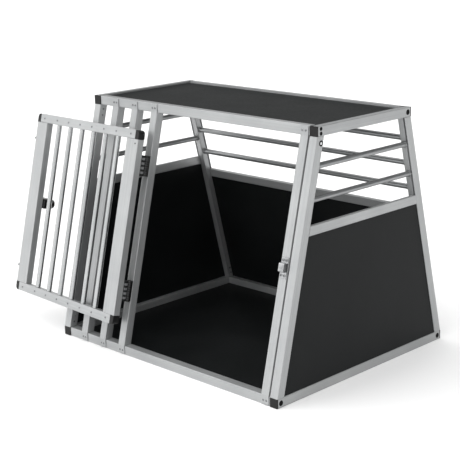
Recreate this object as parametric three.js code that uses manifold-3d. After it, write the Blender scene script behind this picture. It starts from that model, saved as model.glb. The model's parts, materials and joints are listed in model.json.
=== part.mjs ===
// Trapezoid car dog box: a frame of square aluminium profile with black boards below,
// round rods above, and one barred door. Millimetres, +Z up, front at -Y.
// The door is built closed and then swung open about its hinge line.

import * as THREE from 'three';
import { mergeVertices } from 'three/addons/utils/BufferGeometryUtils.js';
import Module from 'manifold-3d';

const wasm = await Module();
wasm.setup();

// Overall sizes
const WIDTH = 800;
const BASE_DEPTH = 650;
const TOP_DEPTH = 356.5;
const HEIGHT = 650;

// Square profile, with the channels that hold the boards
const PROFILE = 24;
const WALL = 1.5;
const CORNER_R = 1.6;
const LIP = 2.2;
const SLOT = 4.6;
const SLOT_DEPTH = 6.5;
const WEB = 1.2;
const GAP = 0.25;

// Boards
const BOARD = 4;
const BOARD_GRIP = 5.5;
const BACK_GRIP = 4.5;
const REBATE_WIDTH = 6;
const ROOF_SUNK = 4;
const REBATE_DEPTH = ROOF_SUNK + BOARD + 2 * GAP;
const FLOOR = 4.5;

// Heights of the cross members
const SIDE_MID_BOTTOM = 395.5;
const BACK_MID_BOTTOM = 352;
const MID_DEEP = 2 * LIP + SLOT;
const SIDE_ROD_HEIGHTS = [477, 555];
const BACK_ROD_HEIGHTS = [439, 505.5, 572];
const ROD_R = 7;
const ROD_BORE = 5.8;
const ROUND_STEPS = 28;
const BEND_STEPS = 6;
const CAP_STEPS = 8;
const KNUCKLE_STEPS = 10;
const PIN_SEGMENTS = 24;

// Upright posts of the front, by the X of their left side
const PLAIN_POSTS = [-325.5, -249];
const HINGE_POST = -172;
const LATCH_POST = 347.5;
const TAB = 1.8;
const TAB_MARGIN = 2;
const TAB_RECESS = 2;
const TAB_OVERLAP = 0.35;

// Plastic end caps of the side rails
const CAP = 3;
const PLUG = 7;
const PLUG_LENGTH = 9;

// Door, measured in its own flat frame
const DOOR_WIDTH = 482.5;
const DOOR_HEIGHT = 511;
const DOOR_THICK = 20;
const DOOR_WALL = 1.4;
const DOOR_X = -140.5;
const DOOR_RISE = 83;
const STILE = 50;
const DOOR_RAIL = 24;
const DOOR_CAP = 15;
const DOOR_CAP_R = 13;
const DOOR_BARS = 6;
const OPEN_ANGLE = 185;

// Hinges
const HINGE_X = -144;
const HINGE_STAND = 15;
const HINGE_INSET = 90;
const KNUCKLES = 9;
const KNUCKLE = 6;
const KNUCKLE_GAP = 0.35;
const BARREL_R = 4.8;
const PIN_R = 2.4;
const PIN_CLEAR = 0.25;
const LEAF = { thick: 3, near: 4.5, postTo: 23, doorTo: 32, corner: 2 };
const ARM = { near: 1.5, wide: 5.5, wrap: 3.8, webClear: 1 };

// Latch on the door and keeper on the latch post
const LATCH_Z = 253;
const HOUSING = { from: 421, to: 474, tall: 28, deep: 24, rise: 5, corner: 3 };
const BOLT_R = 3.5;
const BOLT_CLEAR = 0.25;
const BOLT_OUT = 4.5;
const BOLT = { from: 425, to: 482 };
const BOLT_TRAVEL = 24;
const KNOB = { x: 433, rise: 5, stem: 2.5, r: 12, out: 33, slim: 1.5 };
const KEEPER = { inset: 3, width: 20.5, tall: 51, drop: 4, sheet: 1.6, corner: 0.4 };
const ARCH = { width: 16.5, tall: 22, out: 10, bend: 4, innerBend: 3, relief: 0.5, slotCorner: 0.2 };

const half = PROFILE / 2;
const run = (BASE_DEPTH - TOP_DEPTH) / 2;
const lean = Math.atan2(run, HEIGHT - 2 * PROFILE);
const slope = Math.tan(lean);
const underTop = HEIGHT - PROFILE;
const innerX = WIDTH / 2 - PROFILE;

const paint = (color, roughness, metalness) =>
  new THREE.MeshStandardMaterial({ color, roughness, metalness });
const aluminium = paint(0xc9cccd, 0.42, 0.85);
const rodAluminium = paint(0xd2d5d6, 0.3, 0.9);
const boardBlack = paint(0x1b1d1e, 0.6, 0);
const capBlack = paint(0x17181a, 0.55, 0);
const hingeMetal = paint(0x4a4d50, 0.45, 0.7);
const latchBlack = paint(0x101112, 0.4, 0);
const brightSteel = paint(0xb9bbbd, 0.25, 1);

const group = new THREE.Group();

// ---- solids -------------------------------------------------------------

function solid(geometry) {
  const bare = geometry.clone();
  bare.deleteAttribute('normal');
  bare.deleteAttribute('uv');
  const welded = mergeVertices(bare, 1e-4);
  return new wasm.Manifold(new wasm.Mesh({
    numProp: 3,
    vertProperties: new Float32Array(welded.attributes.position.array),
    triVerts: new Uint32Array(welded.index.array),
  }));
}

function add(name, body, material, matrix) {
  const mesh = body.getMesh();
  const geometry = new THREE.BufferGeometry();
  const points = new Float32Array(mesh.vertProperties);
  geometry.setAttribute('position', new THREE.BufferAttribute(points, 3));
  geometry.setIndex(new THREE.BufferAttribute(new Uint32Array(mesh.triVerts), 1));
  if (matrix) geometry.applyMatrix4(matrix);
  geometry.computeVertexNormals();
  const node = new THREE.Mesh(geometry, material);
  node.name = name;
  group.add(node);
}

function block(lo, hi) {
  const size = hi.map((v, i) => v - lo[i]);
  const geometry = new THREE.BoxGeometry(...size);
  geometry.translate(...lo.map((v, i) => v + size[i] / 2));
  return solid(geometry);
}

// Outline of a rectangle with rounded corners, in the XY plane
function roundedShape(x0, y0, x1, y1, r) {
  const s = new THREE.Shape();
  s.moveTo(x0 + r, y0);
  s.lineTo(x1 - r, y0);
  s.absarc(x1 - r, y0 + r, r, -Math.PI / 2, 0);
  s.lineTo(x1, y1 - r);
  s.absarc(x1 - r, y1 - r, r, 0, Math.PI / 2);
  s.lineTo(x0 + r, y1);
  s.absarc(x0 + r, y1 - r, r, Math.PI / 2, Math.PI);
  s.lineTo(x0, y0 + r);
  s.absarc(x0 + r, y0 + r, r, Math.PI, 1.5 * Math.PI);
  return s;
}

function extrude(shape, depth, curveSegments = 3) {
  return new THREE.ExtrudeGeometry(shape, { depth, bevelEnabled: false, curveSegments });
}

// World axes that carry a section's u, v and length, for a bar along each axis
const BASIS = {
  x: [new THREE.Vector3(0, 1, 0), new THREE.Vector3(0, 0, 1), new THREE.Vector3(1, 0, 0)],
  y: [new THREE.Vector3(0, 0, 1), new THREE.Vector3(1, 0, 0), new THREE.Vector3(0, 1, 0)],
  z: [new THREE.Vector3(1, 0, 0), new THREE.Vector3(0, 1, 0), new THREE.Vector3(0, 0, 1)],
};
const AXIS_INDEX = { x: 0, y: 1, z: 2 };

// A bar with rounded long edges that fills the box from lo to hi
function roundedBar(axis, lo, hi, r) {
  const w = AXIS_INDEX[axis];
  const u = (w + 1) % 3;
  const v = (w + 2) % 3;
  const geometry = extrude(roundedShape(lo[u], lo[v], hi[u], hi[v], r), hi[w] - lo[w]);
  geometry.translate(0, 0, lo[w]);
  geometry.applyMatrix4(new THREE.Matrix4().makeBasis(...BASIS[axis]));
  return solid(geometry);
}

// A hollow profile open at both ends. Each channel is a box cut from it, with its own web.
function profile(axis, lo, hi, channels = [], wall = WALL) {
  const w = AXIS_INDEX[axis];
  const inset = (corner, sign) => corner.map((v, i) => (i === w ? v - sign : v + sign * wall));
  let core = block(inset(lo, 1), inset(hi, -1));
  let body = roundedBar(axis, lo, hi, CORNER_R);
  for (const [a, b] of channels) {
    core = core.subtract(block(a.map((v) => v - WEB), b.map((v) => v + WEB)));
  }
  body = body.subtract(core);
  for (const [a, b] of channels) {
    body = body.subtract(block(a, b));
  }
  return body;
}

// A round tube open at both ends
function tube(axis, centre, from, to, r, bore) {
  const shape = new THREE.Shape();
  shape.absarc(0, 0, r, 0, 2 * Math.PI);
  const geometry = extrude(shape, to - from, ROUND_STEPS / 2);
  const hole = new THREE.Shape();
  hole.absarc(0, 0, bore, 0, 2 * Math.PI);
  const inner = extrude(hole, to - from + 2, ROUND_STEPS / 2);
  inner.translate(0, 0, -1);
  const body = solid(geometry).subtract(solid(inner));
  const w = AXIS_INDEX[axis];
  const at = [...centre];
  at[w] = from;
  return move(body, new THREE.Matrix4().makeBasis(...BASIS[axis]).setPosition(...at));
}

function move(body, matrix) {
  return body.transform(matrix.elements);
}

// ---- the two sloping planes ----------------------------------------------

// side is -1 for the front plane and +1 for the back plane. The upright frame of a plane has
// X as the crate's X, Y as the distance inwards from the plane (front) or minus it (back),
// and Z as the distance up the slope from floor level.
function planeMatrix(side) {
  const foot = BASE_DEPTH / 2 + PROFILE * slope;
  const tilt = new THREE.Matrix4().makeRotationX(side * lean);
  return tilt.setPosition(0, side * foot, 0);
}
const frontPlane = planeMatrix(-1);
const backPlane = planeMatrix(1);
const upSlope = (z) => z / Math.cos(lean);
const SLOPE_SPARE = 20;

// Keeps the part of a body between two heights
function between(body, zLow, zHigh) {
  const far = BASE_DEPTH;
  const below = block([-far, -far, -far], [far, far, zLow]);
  const above = block([-far, -far, zHigh], [far, far, HEIGHT + far]);
  return body.subtract(below).subtract(above);
}

// Keeps the part of a body on the inner side of a sloping plane, set back by a distance
function insidePlane(body, side, setBack) {
  const far = BASE_DEPTH * 2;
  const outer = side < 0
    ? block([-far, -far, -far], [far, setBack, far])
    : block([-far, -setBack, -far], [far, far, far]);
  return body.subtract(move(outer, side < 0 ? frontPlane : backPlane));
}

// ---- base and top rails ---------------------------------------------------

// Channel for a board, in from the outer face by the lip
const slotFrom = (face, inward) => [face + inward * LIP, face + inward * (LIP + SLOT)];
const span = (a, b) => [Math.min(a, b), Math.max(a, b)];

const floorSlotZ = [LIP, FLOOR + GAP];
const LONG = WIDTH;

for (const [label, s] of [['left', -1], ['right', 1]]) {
  const outer = (s * WIDTH) / 2;
  const [x0, x1] = span(outer, outer - s * PROFILE);
  const [panel0, panel1] = span(...slotFrom(outer, -s));
  const [floor0, floor1] = span(outer - s * (PROFILE - SLOT_DEPTH), outer - s * (PROFILE + 1));
  const baseEnd = BASE_DEPTH / 2 - CAP - GAP;
  add(`base_rail_${label}`, profile('y', [x0, -baseEnd, 0], [x1, baseEnd, PROFILE], [
    [[panel0, -LONG, PROFILE - SLOT_DEPTH], [panel1, LONG, PROFILE + 1]],
    [[floor0, -LONG, floorSlotZ[0]], [floor1, LONG, floorSlotZ[1]]],
  ]), aluminium);

  const [step0, step1] = span(outer - s * (PROFILE - REBATE_WIDTH), outer - s * (PROFILE + 1));
  const topEnd = TOP_DEPTH / 2 - CAP - GAP;
  add(`top_rail_${label}`, profile('y', [x0, -topEnd, underTop], [x1, topEnd, HEIGHT], [
    [[step0, -LONG, HEIGHT - REBATE_DEPTH], [step1, LONG, HEIGHT + 1]],
  ]), aluminium);

  const middleX = outer - s * half;
  for (const [level, z, depth] of [['base', 0, BASE_DEPTH], ['top', underTop, TOP_DEPTH]]) {
    for (const [end, e] of [['front', -1], ['back', 1]]) {
      const face = (e * depth) / 2;
      const [y0, y1] = span(face, face - e * CAP);
      const [p0, p1] = span(face - e * CAP / 2, face - e * (CAP + PLUG_LENGTH));
      const plate = roundedBar('y', [x0, y0, z], [x1, y1, z + PROFILE], CORNER_R);
      const plug = block(
        [middleX - PLUG / 2, p0, z + half - PLUG / 2],
        [middleX + PLUG / 2, p1, z + half + PLUG / 2],
      );
      add(`end_cap_${level}_${end}_${label}`, plate.add(plug), capBlack);
    }
  }
}

const railEnd = innerX - GAP;
for (const [label, e] of [['front', -1], ['back', 1]]) {
  const recess = e < 0 ? TAB_RECESS : 0;
  const baseFace = e * (BASE_DEPTH / 2 - recess);
  const [b0, b1] = span(baseFace, baseFace - e * PROFILE);
  const [f0, f1] = span(baseFace - e * (PROFILE - SLOT_DEPTH), baseFace - e * (PROFILE + 1));
  let base = profile('x', [-railEnd, b0, 0], [railEnd, b1, PROFILE], [
    [[-LONG, f0, floorSlotZ[0]], [LONG, f1, floorSlotZ[1]]],
  ]);
  if (e > 0) {
    // the back board leans, so its channel in the rail's top leans with it
    const depth = upSlope(PROFILE - SLOT_DEPTH);
    const web = move(block([-LONG, -(LIP + SLOT + WEB), depth - WEB],
      [LONG, -LIP + WEB, upSlope(PROFILE) - WALL / 2]), backPlane);
    const inRail = block([-railEnd, b0 + WALL / 2, WALL / 2],
      [railEnd, b1 - WALL / 2, PROFILE - WALL / 2]);
    const slot = move(block([-LONG, -(LIP + SLOT), depth],
      [LONG, -LIP, upSlope(PROFILE) + SLOPE_SPARE]), backPlane);
    base = base.add(web.intersect(inRail)).subtract(slot);
  }
  add(`base_rail_${label}`, base, aluminium);

  const topFace = e * (TOP_DEPTH / 2 - recess);
  const [t0, t1] = span(topFace, topFace - e * PROFILE);
  const [r0, r1] = span(topFace - e * (PROFILE - REBATE_WIDTH), topFace - e * (PROFILE + 1));
  add(`top_rail_${label}`, profile('x', [-railEnd, t0, underTop], [railEnd, t1, HEIGHT], [
    [[-LONG, r0, HEIGHT - REBATE_DEPTH], [LONG, r1, HEIGHT + 1]],
  ]), aluminium);
}

// ---- sloping legs and front posts -----------------------------------------

const slopeTop = upSlope(HEIGHT) + SLOPE_SPARE;

for (const [label, s] of [['left', -1], ['right', 1]]) {
  const outer = (s * WIDTH) / 2;
  const [x0, x1] = span(outer, outer - s * PROFILE);
  const [panel0, panel1] = span(...slotFrom(outer, -s));
  const [back0, back1] = span(outer - s * (PROFILE - SLOT_DEPTH), outer - s * (PROFILE + 1));
  for (const [end, e] of [['front', -1], ['back', 1]]) {
    const [y0, y1] = span(0, -e * PROFILE);
    const [c0, c1] = span(-e * (PROFILE - SLOT_DEPTH), -e * (PROFILE + 1));
    const channels = [[[panel0, c0, -LONG], [panel1, c1, 2 * LONG]]];
    if (e > 0) {
      channels.push([[back0, -(LIP + SLOT), -LONG], [back1, -LIP, 2 * LONG]]);
    }
    const leg = profile('z', [x0, y0, -SLOPE_SPARE], [x1, y1, slopeTop], channels);
    const placed = move(leg, e < 0 ? frontPlane : backPlane);
    add(`leg_${end}_${label}`, between(placed, PROFILE + GAP, underTop - GAP), aluminium);
  }
}

// A post stands between the front rails, and its front wall laps over both as a tab
function frontPost(name, x) {
  const tubeBody = profile('z', [x, 0, -SLOPE_SPARE], [x + PROFILE, PROFILE, slopeTop]);
  const upright = between(move(tubeBody, frontPlane), PROFILE + GAP, underTop - GAP);
  const baseFace = -BASE_DEPTH / 2;
  const topFace = -TOP_DEPTH / 2;
  const lower = block([x, baseFace, TAB_MARGIN],
    [x + PROFILE, baseFace + TAB, PROFILE + GAP + TAB_OVERLAP]);
  const upper = block([x, topFace, underTop - GAP - TAB_OVERLAP],
    [x + PROFILE, topFace + TAB, HEIGHT - TAB_MARGIN]);
  add(name, upright.add(lower).add(upper), aluminium);
}
PLAIN_POSTS.forEach((x, i) => frontPost(`front_post_${i + 1}`, x));
frontPost('hinge_post', HINGE_POST);
frontPost('latch_post', LATCH_POST);

// ---- mid rails, boards and rods --------------------------------------------

const sideMidTop = SIDE_MID_BOTTOM + PROFILE;
const backMidLow = upSlope(BACK_MID_BOTTOM) + PROFILE * slope;

for (const [label, s] of [['left', -1], ['right', 1]]) {
  const outer = (s * WIDTH) / 2;
  const [x0, x1] = span(outer, outer - s * MID_DEEP);
  const [panel0, panel1] = span(...slotFrom(outer, -s));
  let rail = profile('y', [x0, -BASE_DEPTH / 2, SIDE_MID_BOTTOM], [x1, BASE_DEPTH / 2, sideMidTop],
    [[[panel0, -LONG, SIDE_MID_BOTTOM - 1], [panel1, LONG, SIDE_MID_BOTTOM + SLOT_DEPTH]]]);
  for (const side of [-1, 1]) rail = insidePlane(rail, side, PROFILE + GAP);
  add(`mid_rail_${label}`, rail, aluminium);

  const [b0, b1] = span(panel0 + (SLOT - BOARD) / 2, panel1 - (SLOT - BOARD) / 2);
  let board = block([b0, -BASE_DEPTH, PROFILE - BOARD_GRIP],
    [b1, BASE_DEPTH, SIDE_MID_BOTTOM + BOARD_GRIP]);
  for (const side of [-1, 1]) board = insidePlane(board, side, PROFILE - BOARD_GRIP);
  add(`panel_${label}`, board, boardBlack);

  SIDE_ROD_HEIGHTS.forEach((z, i) => {
    const far = BASE_DEPTH / 2;
    let rod = tube('y', [outer - s * half, 0, z], -far, far, ROD_R, ROD_BORE);
    for (const side of [-1, 1]) rod = insidePlane(rod, side, PROFILE + GAP);
    add(`rod_${label}_${i + 1}`, rod, rodAluminium);
  });
}

const backMid = profile('x', [-railEnd, -MID_DEEP, backMidLow], [railEnd, 0, backMidLow + PROFILE],
  [[[-LONG, -(LIP + SLOT), backMidLow - 1], [LONG, -LIP, backMidLow + SLOT_DEPTH]]]);
add('mid_rail_back', move(backMid, backPlane), aluminium);

const backInset = (SLOT - BOARD) / 2;
const backBoard = block(
  [-(innerX + BOARD_GRIP), -(LIP + SLOT - backInset), upSlope(PROFILE) - BACK_GRIP],
  [innerX + BOARD_GRIP, -(LIP + backInset), backMidLow + BOARD_GRIP],
);
let backPanel = move(backBoard, backPlane);
for (const s of [-1, 1]) {
  const [x0, x1] = span(s * railEnd, s * WIDTH);
  backPanel = backPanel.subtract(block([x0, 0, 0], [x1, BASE_DEPTH, PROFILE + GAP]));
}
add('panel_back', backPanel, boardBlack);

BACK_ROD_HEIGHTS.forEach((z, i) => {
  const rod = tube('x', [0, -half, upSlope(z)], -railEnd, railEnd, ROD_R, ROD_BORE);
  add(`rod_back_${i + 1}`, move(rod, backPlane), rodAluminium);
});

const floorX = innerX + BOARD_GRIP;
const floorBack = BASE_DEPTH / 2 - PROFILE + BOARD_GRIP;
const tongue = block([-floorX, -(floorBack - TAB_RECESS), LIP + GAP], [floorX, floorBack, FLOOR]);
const innerFront = -(BASE_DEPTH / 2 - TAB_RECESS - PROFILE - GAP);
const innerBack = BASE_DEPTH / 2 - PROFILE - GAP;
const slab = block([-railEnd, innerFront, 0], [railEnd, innerBack, FLOOR]);
add('floor_board', tongue.add(slab), boardBlack);

const roofX = WIDTH / 2 - PROFILE + REBATE_WIDTH - GAP;
const roofY = TOP_DEPTH / 2 - PROFILE + REBATE_WIDTH - GAP;
const roofTop = HEIGHT - ROOF_SUNK - GAP;
add('roof_board', block([-roofX, -(roofY - TAB_RECESS), roofTop - BOARD],
  [roofX, roofY, roofTop]), boardBlack);

// ---- door --------------------------------------------------------------------

// Door frame: X across from the hinge edge, Y inwards from the outer face, Z up the slope
const closed = frontPlane.clone().multiply(
  new THREE.Matrix4().makeTranslation(DOOR_X, 0, DOOR_RISE),
);
const pinX = HINGE_X - DOOR_X;
const swing = new THREE.Matrix4().makeTranslation(pinX, -HINGE_STAND, 0)
  .multiply(new THREE.Matrix4().makeRotationZ(THREE.MathUtils.degToRad(-OPEN_ANGLE)))
  .multiply(new THREE.Matrix4().makeTranslation(-pinX, HINGE_STAND, 0));
const open = closed.clone().multiply(swing);

const stileLow = DOOR_RAIL + GAP;
const stileHigh = DOOR_HEIGHT - DOOR_RAIL - GAP;
for (const [label, x] of [['hinge', 0], ['free', DOOR_WIDTH - STILE]]) {
  add(`door_stile_${label}`, profile('z', [x, 0, stileLow], [x + STILE, DOOR_THICK, stileHigh],
    [], DOOR_WALL), aluminium, open);
}

for (const [label, z, up] of [['bottom', 0, 1], ['top', DOOR_HEIGHT - DOOR_RAIL, -1]]) {
  add(`door_rail_${label}`, profile('x', [DOOR_CAP + GAP, 0, z],
    [DOOR_WIDTH - DOOR_CAP - GAP, DOOR_THICK, z + DOOR_RAIL], [], DOOR_WALL), aluminium, open);
  for (const [end, x, s] of [['hinge', 0, 1], ['free', DOOR_WIDTH, -1]]) {
    // one outer corner of the cap is rounded off
    const outerZ = up > 0 ? z : z + DOOR_RAIL;
    const innerZ = up > 0 ? z + DOOR_RAIL : z;
    const outline = new THREE.Shape();
    outline.moveTo(x + s * DOOR_CAP, outerZ);
    outline.lineTo(x + s * DOOR_CAP, innerZ);
    outline.lineTo(x, innerZ);
    outline.lineTo(x, outerZ + up * DOOR_CAP_R);
    outline.quadraticCurveTo(x, outerZ, x + s * DOOR_CAP_R, outerZ);
    const geometry = extrude(outline, DOOR_THICK, CAP_STEPS);
    geometry.rotateX(Math.PI / 2);
    geometry.translate(0, DOOR_THICK, 0);
    const [p0, p1] = span(x + s * (DOOR_CAP - 1), x + s * (DOOR_CAP + PLUG_LENGTH));
    const plug = block(
      [p0, DOOR_WALL + GAP, z + DOOR_WALL + GAP],
      [p1, DOOR_THICK - DOOR_WALL - GAP, z + DOOR_RAIL - DOOR_WALL - GAP],
    );
    add(`door_cap_${label}_${end}`, solid(geometry).add(plug), capBlack, open);
  }
}

const clear = (DOOR_WIDTH - 2 * STILE - DOOR_BARS * 2 * ROD_R) / (DOOR_BARS + 1);
for (let i = 0; i < DOOR_BARS; i += 1) {
  const x = STILE + clear + ROD_R + i * (clear + 2 * ROD_R);
  const bar = tube('z', [x, DOOR_THICK / 2, 0], stileLow, stileHigh, ROD_R, ROD_BORE);
  add(`door_bar_${i + 1}`, bar, rodAluminium, open);
}

// ---- hinges --------------------------------------------------------------------

const hingeTall = KNUCKLES * KNUCKLE;

function disc(x, y, r, z0, z1) {
  const shape = new THREE.Shape();
  shape.absarc(x, y, r, 0, 2 * Math.PI);
  const geometry = extrude(shape, z1 - z0, KNUCKLE_STEPS);
  geometry.translate(0, 0, z0);
  return solid(geometry);
}

// One half of a hinge. side is -1 for the post's half and +1 for the door's.
function hingeHalf(side, middle) {
  const low = middle - hingeTall / 2;
  const high = low + hingeTall;
  const near = pinX + side * ARM.near;
  const [a0, a1] = span(near, near + side * ARM.wide);
  const far = side < 0 ? LEAF.postTo : LEAF.doorTo;
  const [l0, l1] = span(pinX + side * LEAF.near, pinX + side * far);
  const leaf = roundedBar('y', [l0, -LEAF.thick - GAP, low], [l1, -GAP, high], LEAF.corner);
  const webTop = -HINGE_STAND + BARREL_R + ARM.webClear;
  let body = leaf.add(block([a0, webTop, low], [a1, -LEAF.thick, high]));
  for (let i = side < 0 ? 0 : 1; i < KNUCKLES; i += 2) {
    const z0 = low + i * KNUCKLE + (i === 0 ? 0 : KNUCKLE_GAP / 2);
    const z1 = low + (i + 1) * KNUCKLE - (i === KNUCKLES - 1 ? 0 : KNUCKLE_GAP / 2);
    const arm = block([a0, -HINGE_STAND - ARM.wrap, z0], [a1, -LEAF.thick, z1]);
    body = body.add(arm).add(disc(pinX, -HINGE_STAND, BARREL_R, z0, z1));
  }
  if (side < 0) {
    return body.add(disc(pinX, -HINGE_STAND, PIN_R, low, high));
  }
  return body.subtract(disc(pinX, -HINGE_STAND, PIN_R + PIN_CLEAR, low - 1, high + 1));
}

for (const [label, z] of [['lower', HINGE_INSET], ['upper', DOOR_HEIGHT - HINGE_INSET]]) {
  add(`hinge_fixed_${label}`, hingeHalf(-1, z), hingeMetal, closed);
  add(`hinge_leaf_${label}`, hingeHalf(1, z), hingeMetal, open);
}

// ---- latch and keeper -------------------------------------------------------------

const boltY = -GAP - BOLT_OUT;

function rod(x0, x1, r) {
  const geometry = new THREE.CylinderGeometry(r, r, x1 - x0, PIN_SEGMENTS);
  geometry.rotateZ(Math.PI / 2);
  geometry.translate((x0 + x1) / 2, boltY, LATCH_Z);
  return solid(geometry);
}

const housingMiddle = LATCH_Z + HOUSING.rise;
const housingBox = roundedBar('y',
  [HOUSING.from, -GAP - HOUSING.deep, housingMiddle - HOUSING.tall / 2],
  [HOUSING.to, -GAP, housingMiddle + HOUSING.tall / 2], HOUSING.corner);
const slotEnd = KNOB.stem + BOLT_CLEAR;
const knobSlot = block(
  [KNOB.x - slotEnd, -HOUSING.deep - 1, LATCH_Z - slotEnd],
  [KNOB.x + BOLT_TRAVEL + slotEnd, boltY, LATCH_Z + slotEnd],
);
add('latch_housing', housingBox
  .subtract(rod(BOLT.from - 1, HOUSING.to + 1, BOLT_R + BOLT_CLEAR))
  .subtract(knobSlot), latchBlack, open);

function outwardPin(r, from, to, rise) {
  const geometry = new THREE.CylinderGeometry(r, r, to - from, PIN_SEGMENTS);
  geometry.translate(KNOB.x, -GAP - (from + to) / 2, LATCH_Z + rise);
  return solid(geometry);
}
const knobFrom = HOUSING.deep + KNOB.slim;
add('latch_bolt', rod(BOLT.from, BOLT.to, BOLT_R)
  .add(outwardPin(KNOB.stem, BOLT_OUT, knobFrom + 1, 0))
  .add(outwardPin(KNOB.r, knobFrom, KNOB.out, KNOB.rise)), brightSteel, open);

// The keeper is a plate with an arch raised from it that the bolt slides under. The plate runs
// on past the arch's far side as a narrow strip.
function archOutline(halfTall, out, bend) {
  const s = new THREE.Shape();
  s.moveTo(-halfTall, 0);
  s.lineTo(-halfTall, out - bend);
  s.quadraticCurveTo(-halfTall, out, -halfTall + bend, out);
  s.lineTo(halfTall - bend, out);
  s.quadraticCurveTo(halfTall, out, halfTall, out - bend);
  s.lineTo(halfTall, 0);
  return s;
}
const archHalf = ARCH.tall / 2;
const outerArch = solid(extrude(archOutline(archHalf, ARCH.out, ARCH.bend), ARCH.width, BEND_STEPS));
const innerArch = extrude(archOutline(archHalf - KEEPER.sheet, ARCH.out - KEEPER.sheet,
  ARCH.innerBend), ARCH.width + 2, BEND_STEPS);
innerArch.translate(0, 0, -1);
const plateShape = roundedShape(
  -KEEPER.tall / 2, 0, KEEPER.tall / 2, KEEPER.sheet, KEEPER.corner,
);
const plate = solid(extrude(plateShape, KEEPER.width));
const opening = extrude(roundedShape(-archHalf + KEEPER.sheet, -1, archHalf - KEEPER.sheet,
  KEEPER.sheet + 1, ARCH.slotCorner), ARCH.width + ARCH.relief + 1);
opening.translate(0, 0, -1);
const keeper = outerArch.subtract(solid(innerArch)).add(plate).subtract(solid(opening));
// section u up the slope, v outwards, length across the post
const keeperBasis = new THREE.Matrix4().makeBasis(
  new THREE.Vector3(0, 0, 1), new THREE.Vector3(0, -1, 0), new THREE.Vector3(1, 0, 0),
);
keeperBasis.setPosition(
  LATCH_POST + KEEPER.inset, -GAP, DOOR_RISE + LATCH_Z - KEEPER.drop,
);
add('keeper', keeper, brightSteel, frontPlane.clone().multiply(keeperBasis));

export default group;
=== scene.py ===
import json
import math

import bmesh
import bpy
from mathutils import Matrix, Vector


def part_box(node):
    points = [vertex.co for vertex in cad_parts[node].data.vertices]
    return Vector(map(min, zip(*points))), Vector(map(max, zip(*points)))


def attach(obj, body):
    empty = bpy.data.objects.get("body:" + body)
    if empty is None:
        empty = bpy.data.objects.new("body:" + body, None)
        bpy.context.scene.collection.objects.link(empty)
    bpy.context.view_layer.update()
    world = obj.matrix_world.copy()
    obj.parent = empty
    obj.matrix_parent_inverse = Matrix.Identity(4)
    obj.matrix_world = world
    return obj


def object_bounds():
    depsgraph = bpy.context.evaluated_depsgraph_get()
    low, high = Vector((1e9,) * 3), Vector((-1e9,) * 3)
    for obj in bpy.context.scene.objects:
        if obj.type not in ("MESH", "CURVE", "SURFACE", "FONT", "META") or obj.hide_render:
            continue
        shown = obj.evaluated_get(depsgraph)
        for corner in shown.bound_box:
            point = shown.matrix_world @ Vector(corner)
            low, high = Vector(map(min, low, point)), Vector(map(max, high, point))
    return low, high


# ---- the frame ------------------------------------------------------------

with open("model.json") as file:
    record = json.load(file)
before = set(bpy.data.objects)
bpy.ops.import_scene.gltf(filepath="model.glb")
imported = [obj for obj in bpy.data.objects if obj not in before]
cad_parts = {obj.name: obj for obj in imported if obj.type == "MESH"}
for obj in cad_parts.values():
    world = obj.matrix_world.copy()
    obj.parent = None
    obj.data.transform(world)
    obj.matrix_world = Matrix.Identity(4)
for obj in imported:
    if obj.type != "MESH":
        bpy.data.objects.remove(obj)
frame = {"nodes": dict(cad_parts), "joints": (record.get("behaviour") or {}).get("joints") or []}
cad_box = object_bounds()
nodes = frame["nodes"]
joints = {joint["name"]: joint for joint in frame["joints"]}

MM = 0.001
X, Y, Z = Vector((1, 0, 0)), Vector((0, 1, 0)), Vector((0, 0, 1))
UP_SLOPE = Vector(joints["door_swing"]["axis"]).normalized()
UP_SLOPE_BACK = Vector((0, -UP_SLOPE.y, UP_SLOPE.z))
LEAN = UP_SLOPE.y / UP_SLOPE.z
HINGE_LINE = Vector(joints["door_swing"]["pos_m"])
ACROSS = Vector(joints["bolt_slide"]["axis"]).normalized()


def axes(x, y, z, origin=(0, 0, 0)):
    """A frame with these three axes, as a matrix."""
    matrix = Matrix((x, y, z)).transposed().to_4x4()
    matrix.translation = Vector(origin)
    return matrix


# Both have X across the opening and Z up the slope. Y points into the crate, and on the door
# from its outer face to its inner one.
FRONT = axes(X, UP_SLOPE.cross(X), UP_SLOPE)
DOOR = axes(ACROSS, UP_SLOPE.cross(ACROSS), UP_SLOPE, HINGE_LINE)


def box_in(matrix, node):
    """Lowest and highest corner of a CAD node, along the axes of a frame."""
    inverse = matrix.inverted()
    corners = [inverse @ v.co for v in nodes[node].data.vertices]
    low = Vector([min(c[i] for c in corners) for i in range(3)])
    high = Vector([max(c[i] for c in corners) for i in range(3)])
    return low, high


def facing(point, normal, up=Z):
    """A place on a surface: Z leaves the surface and Y is as near up as it can be."""
    z = Vector(normal).normalized()
    x = Vector(up).cross(z).normalized()
    return axes(x, z.cross(x), z, point)


# ---- materials --------------------------------------------------------------


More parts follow.
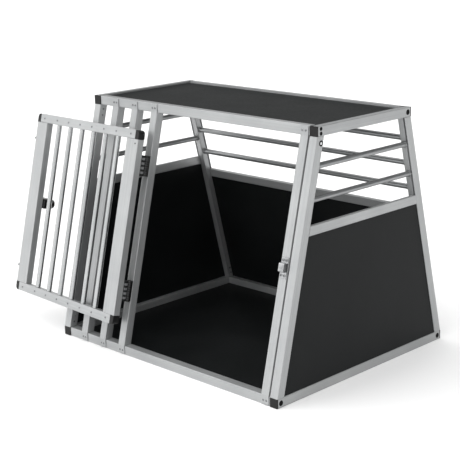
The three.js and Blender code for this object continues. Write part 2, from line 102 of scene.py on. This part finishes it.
class Shader:
    """A short way to build one Principled material."""

    def __init__(self, name, **values):
        self.material = bpy.data.materials.new(name)
        self.material.use_nodes = True
        self.tree = self.material.node_tree
        self.bsdf = self.tree.nodes["Principled BSDF"]
        for socket, value in values.items():
            self.bsdf.inputs[socket].default_value = value
        self.point = self.node("ShaderNodeTexCoord").outputs["Object"]

    def node(self, kind, **settings):
        made = self.tree.nodes.new(kind)
        for key, value in settings.items():
            setattr(made, key, value)
        return made

    def link(self, output, target):
        self.tree.links.new(output, target)

    def stretched(self, direction, across, along):
        """Coordinates whose detail is fine across a direction and long along it."""
        dot = self.node("ShaderNodeVectorMath", operation="DOT_PRODUCT")
        dot.inputs[1].default_value = direction
        self.link(self.point, dot.inputs[0])
        run = self.node("ShaderNodeVectorMath", operation="SCALE")
        run.inputs[0].default_value = Vector(direction) * (along - across)
        self.link(dot.outputs["Value"], run.inputs["Scale"])
        fine = self.node("ShaderNodeVectorMath", operation="SCALE")
        fine.inputs["Scale"].default_value = across
        self.link(self.point, fine.inputs[0])
        total = self.node("ShaderNodeVectorMath", operation="ADD")
        self.link(fine.outputs[0], total.inputs[0])
        self.link(run.outputs[0], total.inputs[1])
        return total.outputs[0]

    def noise(self, scale, detail, where=None, roughness=0.5):
        made = self.node("ShaderNodeTexNoise")
        made.inputs["Scale"].default_value = scale
        made.inputs["Detail"].default_value = detail
        made.inputs["Roughness"].default_value = roughness
        self.link(where or self.point, made.inputs["Vector"])
        return made.outputs["Fac"]

    def remap(self, value, low, high, from_low=0.3, from_high=0.7):
        made = self.node("ShaderNodeMapRange")
        made.inputs["From Min"].default_value = from_low
        made.inputs["From Max"].default_value = from_high
        made.inputs["To Min"].default_value = low
        made.inputs["To Max"].default_value = high
        self.link(value, made.inputs["Value"])
        return made.outputs["Result"]

    def math(self, operation, a, b):
        made = self.node("ShaderNodeMath", operation=operation)
        for i, value in enumerate((a, b)):
            if isinstance(value, (int, float)):
                made.inputs[i].default_value = value
            else:
                self.link(value, made.inputs[i])
        return made.outputs[0]

    def colour(self, factor, dark, light):
        made = self.node("ShaderNodeMix", data_type="RGBA")
        made.inputs["A"].default_value = (*dark, 1)
        made.inputs["B"].default_value = (*light, 1)
        self.link(factor, made.inputs["Factor"])
        self.link(made.outputs["Result"], self.bsdf.inputs["Base Color"])

    def roughness(self, value):
        self.link(value, self.bsdf.inputs["Roughness"])

    def bump(self, height, strength, distance):
        made = self.node("ShaderNodeBump")
        made.inputs["Strength"].default_value = strength
        made.inputs["Distance"].default_value = distance
        self.link(height, made.inputs["Height"])
        self.link(made.outputs["Normal"], self.bsdf.inputs["Normal"])


def anodised(name, direction, dark, light, low=0.28, high=0.4, metal=0.42):
    """Satin anodised extrusion: die lines along its length and a faint cloudy bloom."""
    s = Shader(name, Metallic=metal)
    lines = s.noise(1, 2, s.stretched(direction, across=1100, along=3))
    bands = s.noise(1, 2, s.stretched(direction, across=170, along=1.5))
    bloom = s.noise(scale=7, detail=4)
    tone = s.math("ADD", s.math("MULTIPLY", bands, 0.4), s.math("MULTIPLY", bloom, 0.6))
    s.colour(s.remap(tone, 0, 1, from_low=0.38, from_high=0.62), dark, light)
    s.roughness(s.remap(s.math("MULTIPLY", s.math("ADD", lines, bloom), 0.5), low, high))
    s.bump(lines, strength=0.10, distance=0.02 * MM)
    return s.material


def black_board(name, gloss, dark, light):
    """Black laminated board: a fine pressed grain, and broad soft smudges in its sheen."""
    s = Shader(name)
    s.bsdf.inputs["Specular IOR Level"].default_value = gloss
    grain = s.noise(scale=1400, detail=3)
    smudge = s.noise(scale=5, detail=5, roughness=0.6)
    scuffs = s.noise(1, 3, s.stretched((0.6, 0.6, 0.53), across=260, along=9))
    s.colour(s.remap(smudge, 0, 1), dark, light)
    s.roughness(s.math("ADD", s.remap(smudge, 0.36, 0.44), s.remap(scuffs, -0.01, 0.05)))
    s.bump(grain, strength=0.25, distance=0.05 * MM)
    return s.material


def moulded_black(name, rough, tone, gloss, grain=2200, depth=0.35):
    """Moulded black plastic with a spark-eroded grain."""
    s = Shader(name)
    s.bsdf.inputs["Specular IOR Level"].default_value = gloss
    pits = s.noise(grain, detail=2)
    patch = s.noise(scale=60, detail=3)
    s.colour(s.remap(patch, 0, 1), (tone,) * 3, (tone * 1.8,) * 3)
    s.roughness(s.remap(patch, rough - 0.05, rough + 0.07))
    s.bump(pits, depth, distance=0.05 * MM)
    return s.material


def bright_steel(name, direction, dark=(0.56, 0.57, 0.58), light=(0.72, 0.73, 0.74)):
    """Zinc-bright steel with a brushed finish."""
    s = Shader(name, Metallic=1.0)
    lines = s.noise(1, 2, s.stretched(direction, across=2600, along=40))
    patch = s.noise(scale=90, detail=3)
    s.colour(s.remap(patch, 0, 1), dark, light)
    s.roughness(s.remap(lines, 0.2, 0.34))
    s.bump(lines, strength=0.12, distance=0.02 * MM)
    return s.material


def cast_hinge(name):
    """Black coated hinge metal, grey on the arms that carry the knuckles; the black between the
    arms is painted shade for the web's recess.
    """
    s = Shader(name, Metallic=0.5)
    peel = s.noise(scale=900, detail=2)
    patch = s.noise(scale=70, detail=3)
    from_pin = s.node("ShaderNodeVectorMath", operation="SUBTRACT")
    from_pin.inputs[1].default_value = HINGE_LINE
    s.link(s.point, from_pin.inputs[0])
    across = s.node("ShaderNodeVectorMath", operation="CROSS_PRODUCT")
    across.inputs[1].default_value = UP_SLOPE
    s.link(from_pin.outputs[0], across.inputs[0])
    distance = s.node("ShaderNodeVectorMath", operation="LENGTH")
    s.link(across.outputs[0], distance.inputs[0])
    along = s.node("ShaderNodeVectorMath", operation="DOT_PRODUCT")
    along.inputs[1].default_value = UP_SLOPE
    s.link(from_pin.outputs[0], along.inputs[0])
    height = s.math("ABSOLUTE", along.outputs["Value"], 0)
    from_middle = s.math("SUBTRACT", height, HINGE_OFFSET)
    turn = s.math("MULTIPLY", from_middle, math.pi / KNUCKLE_TALL)
    on_knuckle = s.remap(s.math("COSINE", turn, 0), 1, 0, -0.2, 0.2)
    off_barrel = s.remap(distance.outputs["Value"], 0, 1, BARREL_R, BARREL_R + ARM_SHADE_FADE)
    on_arm = s.remap(distance.outputs["Value"], 1, 0, ARM_REACH, ARM_REACH + ARM_SHADE_FADE)
    arm = s.math("MULTIPLY", s.math("MULTIPLY", on_knuckle, off_barrel), on_arm)
    # Grey on the knuckle arms; the black left between them, in the web's recess, is painted shade
    arms_grey_web_shaded = s.math("ADD", arm, s.remap(patch, -0.05, 0.1))
    s.colour(arms_grey_web_shaded, (0.012, 0.0125, 0.013), (0.24, 0.245, 0.25))
    s.roughness(s.remap(patch, 0.38, 0.52))
    s.bump(peel, strength=0.2, distance=0.05 * MM)
    return s.material


# The hinges' middles, from the middle of the hinge line, and where the knuckle arms turn grey
# against the painted shade between them
leaf_low, leaf_high = box_in(FRONT, "hinge_fixed_upper")
HINGE_OFFSET = (leaf_low.z + leaf_high.z) / 2 - (FRONT.inverted() @ HINGE_LINE).z
KNUCKLES, BARREL_R, ARM_REACH, ARM_SHADE_FADE = 9, 5.2 * MM, 14 * MM, 0.8 * MM
KNUCKLE_TALL = (leaf_high.z - leaf_low.z) / KNUCKLES

# The darkest and lightest tone of each aluminium, and the ways its grain can run
PROFILE_DARK, PROFILE_LIGHT = (0.32, 0.328, 0.332), (0.385, 0.393, 0.395)
ROD_DARK, ROD_LIGHT = (0.36, 0.37, 0.374), (0.45, 0.457, 0.46)
FAR_ROD_DARK, FAR_ROD_LIGHT = (0.25, 0.257, 0.26), (0.32, 0.326, 0.33)
DIRECTIONS = {
    "x": X, "y": Y, "front": UP_SLOPE, "back": UP_SLOPE_BACK, "across": ACROSS,
}
profile = {
    key: anodised(f"anodised_{key}", way, PROFILE_DARK, PROFILE_LIGHT)
    for key, way in DIRECTIONS.items()
}
rod = {
    "x": anodised("rod_back", X, FAR_ROD_DARK, FAR_ROD_LIGHT, 0.32, 0.42, 0.8),
    "y": anodised("rod_side", Y, FAR_ROD_DARK, FAR_ROD_LIGHT, 0.32, 0.42, 0.8),
    "front": anodised("rod_door", UP_SLOPE, ROD_DARK, ROD_LIGHT, 0.19, 0.27, 1.0),
}
board = black_board(
    "black_board", gloss=0.11, dark=(0.0058, 0.0067, 0.007), light=(0.0102, 0.0113, 0.0116)
)
roof_board = black_board(
    "roof_board", gloss=0.07, dark=(0.0075, 0.0086, 0.0087), light=(0.0125, 0.0137, 0.014)
)
cap_plastic = moulded_black("cap_plastic", 0.42, tone=0.006, gloss=0.22)
latch_plastic = moulded_black(
    "latch_plastic", 0.3, tone=0.006, gloss=0.3, grain=1500, depth=0.12
)
rubber = moulded_black("rubber", 0.75, tone=0.004, gloss=0.1, grain=1200, depth=0.3)
# Black for the dark insides of open holes: painted shade
hole_shade_black = moulded_black("hole_shade_black", 0.6, tone=0.003, gloss=0.08, grain=1800, depth=0.2)
hinge_black = moulded_black("hinge_black", 0.45, tone=0.006, gloss=0.3, grain=900, depth=0.2)
hinge_leaf = cast_hinge("hinge_leaf")
steel = bright_steel("keeper_steel", UP_SLOPE, (0.28, 0.285, 0.29), (0.42, 0.425, 0.43))
screw_steel = bright_steel("screw_steel", X, (0.20, 0.205, 0.21), (0.32, 0.325, 0.33))
access_steel = bright_steel("access_screw_steel", X)


def material_of(name):
    """The material of a CAD node, with its grain along the node's length."""
    if name == "roof_board":
        return roof_board
    if name.startswith(("panel", "floor")):
        return board
    if name.startswith(("end_cap", "door_cap")):
        return cap_plastic
    if name.startswith("hinge_fixed"):
        return hinge_black
    if name.startswith("hinge_leaf"):
        return hinge_leaf
    if name == "latch_housing":
        return latch_plastic
    if name in ("latch_bolt", "keeper"):
        return steel
    if name.startswith("rod_back"):
        return rod["x"]
    if name.startswith("rod_"):
        return rod["y"]
    if name.startswith("door_bar"):
        return rod["front"]
    if name.startswith("door_rail"):
        return profile["across"]
    if name.startswith("leg_back"):
        return profile["back"]
    if name.startswith(("leg_front", "door_stile", "front_post")) or name.endswith("_post"):
        return profile["front"]
    if name.endswith(("_left", "_right")):
        return profile["y"]
    return profile["x"]


# ---- finish of the CAD nodes --------------------------------------------------

# Width of the broken edges, in mm
EDGE = {
    "end_cap": 0.7, "door_cap": 0.7, "latch_housing": 0.9,
    "panel": 0.5, "roof": 0.5, "floor": 0.5,
}
PLAIN_EDGE = 0.3

# Edges that turn by more degrees than this are broken
BROKEN_FROM = 38


def soften(obj, width):
    """Breaks the sharp edges of a node and shades it smooth between them."""
    weld = obj.modifiers.new("weld", "WELD")
    weld.merge_threshold = 0.002 * MM
    bevel = obj.modifiers.new("bevel", "BEVEL")
    bevel.width = width * MM
    bevel.segments = 2
    bevel.limit_method = "ANGLE"
    bevel.angle_limit = math.radians(BROKEN_FROM)
    normals = obj.modifiers.new("normals", "WEIGHTED_NORMAL")
    normals.weight = 80
    obj.data.shade_smooth()


for name, obj in nodes.items():
    obj.data.materials.clear()
    obj.data.materials.append(material_of(name))
    width = next((w for start, w in EDGE.items() if name.startswith(start)), PLAIN_EDGE)
    soften(obj, width)


# ---- small fittings -------------------------------------------------------------

# Steps around a turned fitting, and the turn in degrees from which its edges stay sharp
ROUND, CREASE = 24, 50


def lathe(bm, place, outline, shape=None):
    """Turns an outline of (radius, height) points, from the axis outwards, about a place's Z."""

    def corner(x, y, height):
        return bm.verts.new(place @ Vector((x, y, shape(x, y, height) if shape else height)))

    rings = []
    for radius, height in outline:
        if radius == 0:
            rings.append([corner(0, 0, height)])
            continue
        turns = [2 * math.pi * i / ROUND for i in range(ROUND)]
        rings.append([corner(radius * math.cos(t), radius * math.sin(t), height) for t in turns])
    for inner, outer in zip(rings, rings[1:]):
        for i in range(ROUND):
            j = (i + 1) % ROUND
            if len(inner) == 1:
                bm.faces.new((inner[0], outer[i], outer[j]))
            else:
                bm.faces.new((inner[i], outer[i], outer[j], inner[j]))
    bm.faces.new(list(reversed(rings[-1])))


def cross_head(bm, place, radius, height):
    """A low domed screw head with a cross recess."""
    arm, reach, depth = 0.16 * radius, 0.62 * radius, 0.6 * height

    def recessed(x, y, z):
        in_cross = min(abs(x), abs(y)) < arm and max(abs(x), abs(y)) < reach
        return z - depth if in_cross else z

    rings = [0, 0.14, 0.3, 0.44, 0.58, 0.66, 0.82, 0.93]
    outline = [(k * radius, height * (1 - 0.55 * k ** 3)) for k in rings]
    outline += [(radius, 0.35 * height), (radius, -0.2 * height)]
    lathe(bm, place, outline, shape=recessed)


def hole_shade_disc(bm, place, radius, height):
    """A black disc with a dished middle, standing for a hole's dark inside: painted shade."""
    outline = [(0, 0.45 * height), (0.5 * radius, 0.5 * height), (0.68 * radius, height)]
    outline += [(0.86 * radius, height), (0.97 * radius, 0.6 * height), (radius, -0.2 * height)]
    lathe(bm, place, outline)


def button(bm, place, radius, height):
    """A rubber buffer with a rounded end."""
    outline = [(0, height), (0.6 * radius, 0.97 * height), (0.86 * radius, 0.86 * height)]
    outline += [(radius, 0.62 * height), (radius, 0.2 * height), (1.12 * radius, 0.12 * height)]
    outline += [(1.12 * radius, -0.2 * MM)]
    lathe(bm, place, outline)


def grip(bm, place, radius, height):
    """A knob's moulded cover: a dished face, a rounded rim and a skirt that runs down behind it."""
    outline = [(0, 0.04 * height), (0.55 * radius, 0.05 * height), (0.78 * radius, 0.12 * height)]
    outline += [(0.92 * radius, 0.07 * height), (radius, -0.1 * height), (radius, -height)]
    lathe(bm, place, outline)


def collar(bm, place, radius, height, shape=None):
    """A plain sleeve around the end of a rod."""
    outline = [(0, 0.9 * height), (0.8 * radius, 0.9 * height), (0.84 * radius, height)]
    outline += [(0.93 * radius, height), (radius, 0.85 * height), (radius, 0)]
    lathe(bm, place, outline, shape)


def leaning_collar(bm, place, radius, height):
    """The same sleeve, with both ends cut to the slope of the legs."""
    collar(bm, place, radius, height, shape=lambda x, y, z: z + y * LEAN)


def eyelet(bm, place, radius, height):
    """The rolled rim of a hole, closed by a black floor for the hole's dark inside: painted shade.
    """
    outline = [(0, 0.05 * height), (0.7 * radius, 0.05 * height), (0.74 * radius, 0.8 * height)]
    outline += [(0.84 * radius, height), (0.95 * radius, 0.75 * height), (radius, -0.2 * height)]
    lathe(bm, place, outline)


def fittings(name, body, slot, material, make, places, radius, height):
    """One piece that holds every copy of a small fitting on a body, with its sizes in mm."""
    bm = bmesh.new()
    for place in places:
        make(bm, place, radius * MM, height * MM)
    mesh = bpy.data.meshes.new(name)
    bm.to_mesh(mesh)
    bm.free()
    mesh.materials.append(material)
    mesh.shade_smooth()
    mesh.set_sharp_from_angle(angle=math.radians(CREASE))
    piece = bpy.data.objects.new(name, mesh)
    bpy.context.scene.collection.objects.link(piece)
    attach(piece, body)


# Screws of the post tabs, two side by side on each rail
TAB_SCREW_PITCH = 10 * MM
base_low, base_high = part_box("base_rail_left")
top_low, top_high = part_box("top_rail_left")
tab_faces = [
    (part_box("end_cap_base_front_left")[0].y, (base_low.z + base_high.z) / 2),
    (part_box("end_cap_top_front_left")[0].y, (top_low.z + top_high.z) / 2),
]
tab_screws = []
for post in ("front_post_1", "front_post_2", "hinge_post", "latch_post"):
    low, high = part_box(post)
    for side in (-0.5, 0.5):
        x = (low.x + high.x) / 2 + side * TAB_SCREW_PITCH
        tab_screws += [facing((x, y, z), -Y) for y, z in tab_faces]
fittings("tab_screws", "crate", "steel", screw_steel, cross_head, tab_screws,
         radius=2.9, height=1.4)

# Screws on the inner faces of the legs, a pair at each end
LEG_SCREW_INSETS = (13 * MM, 29 * MM)
leg_screws = []
for leg in ("leg_front_left", "leg_front_right", "leg_back_left", "leg_back_right"):
    low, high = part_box(leg)
    inner = high.x if "left" in leg else low.x
    out = 1 if "left" in leg else -1
    way = UP_SLOPE_BACK if "back" in leg else UP_SLOPE
    foot = high.y if "back" in leg else low.y
    half_width = (high.x - low.x) / (2 * way.z)
    towards_middle = -1 if "back" in leg else 1
    for inset in LEG_SCREW_INSETS:
        for z in (low.z + inset, high.z - inset):
            y = foot + (z - low.z) * way.y / way.z + towards_middle * half_width
            leg_screws.append(facing((inner, y, z), X * out, way))
fittings("leg_screws", "crate", "steel", screw_steel, cross_head, leg_screws,
         radius=2.8, height=0.8)

# Collars where the crate's rods meet the legs
side_collars, back_collars = [], []
for rod_name in (name for name in nodes if name.startswith("rod_")):
    low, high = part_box(rod_name)
    middle = (low + high) / 2
    if "back" in rod_name:
        back_collars += [
            facing((low.x, middle.y, middle.z), X), facing((high.x, middle.y, middle.z), -X)
        ]
    else:
        in_from_end = (high.z - low.z) / 2 * LEAN
        side_collars += [
            facing((middle.x, low.y + in_from_end, middle.z), Y),
            facing((middle.x, high.y - in_from_end, middle.z), -Y),
        ]
COLLAR = {"radius": 8.5, "height": 5}
fittings("rod_collars_back", "crate", "rod", rod["x"], collar, back_collars, **COLLAR)
fittings("rod_collars_side", "crate", "rod", rod["y"], leaning_collar, side_collars, **COLLAR)

# Screws that hold the bars and stiles to the door's two rails, on its inner face
DOOR_BARS, STILE_SCREW_SHIFT = 6, 9.5 * MM
inwards = DOOR.to_3x3() @ Y
door_screws = []
for rail in ("door_rail_bottom", "door_rail_top"):
    low, high = box_in(DOOR, rail)
    level = (low.z + high.z) / 2
    spots = []
    for i in range(1, DOOR_BARS + 1):
        bar_low, bar_high = box_in(DOOR, f"door_bar_{i}")
        spots.append((bar_low.x + bar_high.x) / 2)
    for stile, shift in (("door_stile_hinge", 1), ("door_stile_free", -1)):
        stile_low, stile_high = box_in(DOOR, stile)
        spots.append((stile_low.x + stile_high.x) / 2 + shift * STILE_SCREW_SHIFT)
    for x in spots:
        door_screws.append(facing(DOOR @ Vector((x, high.y, level)), inwards, UP_SLOPE))
fittings("door_screws", "door", "steel", screw_steel, cross_head, door_screws,
         radius=2.9, height=1.5)

# Rubber buffers on the door's free edge
BUFFER_INSET, BUFFER_DEPTH = 71 * MM, 3.3 * MM
low, high = box_in(DOOR, "door_stile_free")
rail_low = box_in(DOOR, "door_rail_bottom")[0]
rail_high = box_in(DOOR, "door_rail_top")[1]
buffers = []
for z in (rail_low.z + BUFFER_INSET, rail_high.z - BUFFER_INSET):
    buffers.append(facing(DOOR @ Vector((high.x, high.y - BUFFER_DEPTH, z)), ACROSS, UP_SLOPE))
fittings("door_buffers", "door", "end_cap", rubber, button, buffers,
         radius=3.4, height=5.2)

# A small drilled hole near the top of the hinge stile, drawn as a black disc: painted shade for its
# dark inside
low, high = box_in(DOOR, "door_stile_hinge")
HOLE_FROM_TOP, HOLE_FROM_EDGE = 11 * MM, 11 * MM
spot = DOOR @ Vector((low.x + HOLE_FROM_EDGE, high.y, high.z - HOLE_FROM_TOP))
fittings("stile_hole", "door", "end_cap", hole_shade_black, hole_shade_disc,
         [facing(spot, inwards, UP_SLOPE)], radius=2.2, height=0.3)

# Screws of the keeper's two feet
low, high = box_in(FRONT, "keeper")
FOOT_SCREW_INSET, FOOT_SCREW_HALF, SHEET = 7 * MM, 5 * MM, 1.6 * MM
outwards = FRONT.to_3x3() @ -Y
keeper_screws = []
for z in (low.z + FOOT_SCREW_INSET, high.z - FOOT_SCREW_INSET):
    for side in (-1, 1):
        x = (low.x + high.x) / 2 + side * FOOT_SCREW_HALF
        spot = FRONT @ Vector((x, high.y - SHEET, z))
        keeper_screws.append(facing(spot, outwards, UP_SLOPE))
fittings("keeper_screws", "crate", "steel", screw_steel, cross_head, keeper_screws,
         radius=3.3, height=2.2)

# A black grip over the bolt's round knob
low, high = box_in(DOOR, "latch_bolt")
housing_low, housing_high = box_in(DOOR, "latch_housing")
KNOB_R, GRIP_SKIN, GRIP_SHORT = 12, 0.6, 1
KNOB_FROM_NEAR = 12 * MM
grip_spot = Vector((housing_low.x + KNOB_FROM_NEAR, low.y, (housing_low.z + housing_high.z) / 2))
grip_tall = housing_low.y - low.y
fittings("knob_grip", "bolt", "latch", latch_plastic, grip,
         [facing(DOOR @ grip_spot, DOOR.to_3x3() @ -Y, UP_SLOPE)],
         radius=KNOB_R + GRIP_SKIN, height=grip_tall / MM - GRIP_SHORT)

# Holes in the outer faces of the two sides, their dark insides drawn black: painted shade. The
# front top corner has a pair of small ones, and an access hole below it with one of the frame's
# screws inside.
CORNER_INSET = 13 * MM
PAIR_HALF, EYE_DROP, SCREW_RISE = 5.4 * MM, 16.5 * MM, 0.1 * MM
hole_shade_discs, small_hole_shade_discs, eyelets, eyelet_screws = [], [], [], []
base_level = (base_low.z + base_high.z) / 2
top_level = (top_low.z + top_high.z) / 2
front_base, back_base = (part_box(f"end_cap_base_{end}_left") for end in ("front", "back"))
front_top, back_top = (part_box(f"end_cap_top_{end}_left") for end in ("front", "back"))
for side in (-1, 1):
    x = side * cad_box[1].x
    for y, z in (
        (front_base[0].y + CORNER_INSET, base_level),
        (back_base[1].y - CORNER_INSET, base_level),
        (back_top[1].y - CORNER_INSET, top_level),
    ):
        hole_shade_discs.append(facing((x, y, z), X * side))
    y = front_top[0].y + CORNER_INSET
    for z in (top_level + PAIR_HALF, top_level - PAIR_HALF):
        small_hole_shade_discs.append(facing((x, y, z), X * side))
    eye = facing((x, y, top_low.z - EYE_DROP), X * side)
    eyelets.append(eye)
    eyelet_screws.append(eye @ Matrix.Translation((0, 0, SCREW_RISE)))
fittings("side_hole_shade_discs", "crate", "end_cap", hole_shade_black, hole_shade_disc, hole_shade_discs,
         radius=7.0, height=0.5)
fittings("side_small_hole_shade_discs", "crate", "end_cap", hole_shade_black, hole_shade_disc, small_hole_shade_discs,
         radius=4.7, height=0.4)
fittings("side_eyelets", "crate", "end_cap", hole_shade_black, eyelet, eyelets,
         radius=7.2, height=0.8)
fittings("eyelet_screws", "crate", "steel", access_steel, cross_head, eyelet_screws,
         radius=3.6, height=0.7)

# Screws of the hinge leaves
POST_SCREW_INSET, LEAF_SCREW_INSET, SCREW_HALF, LEAF = 7 * MM, 8 * MM, 17 * MM, 3 * MM
hinge_screws = {"crate": [], "door": []}
for level in ("lower", "upper"):
    for node, body, matrix in (
        (f"hinge_fixed_{level}", "crate", FRONT),
        (f"hinge_leaf_{level}", "door", DOOR),
    ):
        low, high = box_in(matrix, node)
        face = matrix.to_3x3() @ -Y
        x = low.x + POST_SCREW_INSET if body == "crate" else high.x - LEAF_SCREW_INSET
        for k in (-1, 1):
            z = (low.z + high.z) / 2 + k * SCREW_HALF
            spot = matrix @ Vector((x, high.y - LEAF, z))
            hinge_screws[body].append(facing(spot, face, UP_SLOPE))
for body, places in hinge_screws.items():
    fittings(f"hinge_screws_{body}", body, "steel", screw_steel, cross_head, places,
             radius=3.3, height=1.2)


# ---- floor, light and camera -----------------------------------------------------

FLOOR_SIZE, FLOOR_DROP = 600, 0.2 * MM
FLOOR_DARK, FLOOR_LIGHT = (0.93, 0.93, 0.93), (0.95, 0.95, 0.95)
bpy.ops.mesh.primitive_plane_add(size=FLOOR_SIZE, location=(0, 0, -FLOOR_DROP))
floor = bpy.context.object
floor.name = "floor"
ground = Shader("floor", Roughness=0.9)
patches = ground.noise(scale=0.4, detail=2)
ground.colour(ground.remap(patches, 0, 1), FLOOR_DARK, FLOOR_LIGHT)
floor.data.materials.append(ground.material)

world = bpy.data.worlds.new("studio")
bpy.context.scene.world = world
world.use_nodes = True
sky = world.node_tree
direction = sky.nodes.new("ShaderNodeTexCoord").outputs["Generated"]


def faded(value, start, end, at_start, at_end):
    """A smooth step from one brightness to another, between two values of a socket."""
    fade = sky.nodes.new("ShaderNodeMapRange")
    fade.interpolation_type = "SMOOTHSTEP"
    fade.inputs["From Min"].default_value = start
    fade.inputs["From Max"].default_value = end
    fade.inputs["To Min"].default_value = at_start
    fade.inputs["To Max"].default_value = at_end
    sky.links.new(value, fade.inputs["Value"])
    return fade.outputs["Result"]


def bank(towards, edge, brightness):
    """A broad soft bank of light in the surroundings, which fades out at edge degrees."""
    dot = sky.nodes.new("ShaderNodeVectorMath")
    dot.operation = "DOT_PRODUCT"
    dot.inputs[1].default_value = Vector(towards).normalized()
    sky.links.new(direction, dot.inputs[0])
    return faded(dot.outputs["Value"], math.cos(math.radians(edge)), 1, 0, brightness)


def horizon(brightness, full, gone):
    """A pale backdrop all round that fades out upwards, between two heights of the direction."""
    height = sky.nodes.new("ShaderNodeSeparateXYZ")
    sky.links.new(direction, height.inputs[0])
    return faded(height.outputs["Z"], full, gone, brightness, 0)


def combined(operation, one):
    """A maths node on a socket, and the node's second input."""
    made = sky.nodes.new("ShaderNodeMath")
    made.operation = operation
    sky.links.new(one, made.inputs[0])
    return made.outputs[0], made.inputs[1]


AMBIENT = 0.17
lit, ambient = combined("ADD", bank(towards=(-0.7, -0.7, -0.05), edge=85, brightness=1.45))
ambient.default_value = AMBIENT
radiance, backdrop = combined("MAXIMUM", lit)
sky.links.new(horizon(brightness=1.0, full=0.05, gone=0.2), backdrop)
sky.nodes["Background"].inputs["Color"].default_value = (1, 1, 1, 1)
sky.links.new(radiance, sky.nodes["Background"].inputs["Strength"])


def soft_sun(name, energy, angle, towards):
    """A broad light from one side of the studio."""
    light = bpy.data.lights.new(name, "SUN")
    light.energy = energy
    light.angle = math.radians(angle)
    lamp = bpy.data.objects.new(name, light)
    bpy.context.scene.collection.objects.link(lamp)
    lamp.rotation_euler = Vector(towards).to_track_quat("Z", "Y").to_euler()


soft_sun("overhead", energy=2.8, angle=100, towards=(-0.1, -0.2, 1))
soft_sun("front_fill", energy=1.1, angle=90, towards=(0.6, -0.75, 0.35))

AIM = Vector((0, 0, (cad_box[0].z + cad_box[1].z) / 2))

# The camera looks down on the front right corner
AZIMUTH, ELEVATION, ROLL = 44.906, 14.887, -1.273
DISTANCE, OFF_RIGHT, OFF_UP = 3.3286, -0.04736, -0.02358
FOCAL_LENGTH, SENSOR = 97.395, 36
a, e, tilt = math.radians(AZIMUTH), math.radians(ELEVATION), math.radians(ROLL)
back = Vector((math.sin(a) * math.cos(e), -math.cos(a) * math.cos(e), math.sin(e)))
level_right = Z.cross(back).normalized()
level_up = back.cross(level_right)
right = math.cos(tilt) * level_right + math.sin(tilt) * level_up
up = back.cross(right)
lens = bpy.data.cameras.new("camera")
lens.sensor_width = SENSOR
lens.lens = FOCAL_LENGTH
camera = bpy.data.objects.new("camera", lens)
bpy.context.scene.collection.objects.link(camera)
camera.matrix_world = axes(
    right, up, back, AIM + back * DISTANCE + right * OFF_RIGHT + up * OFF_UP
)
bpy.context.scene.camera = camera
bpy.context.scene.view_settings.view_transform = "Standard"
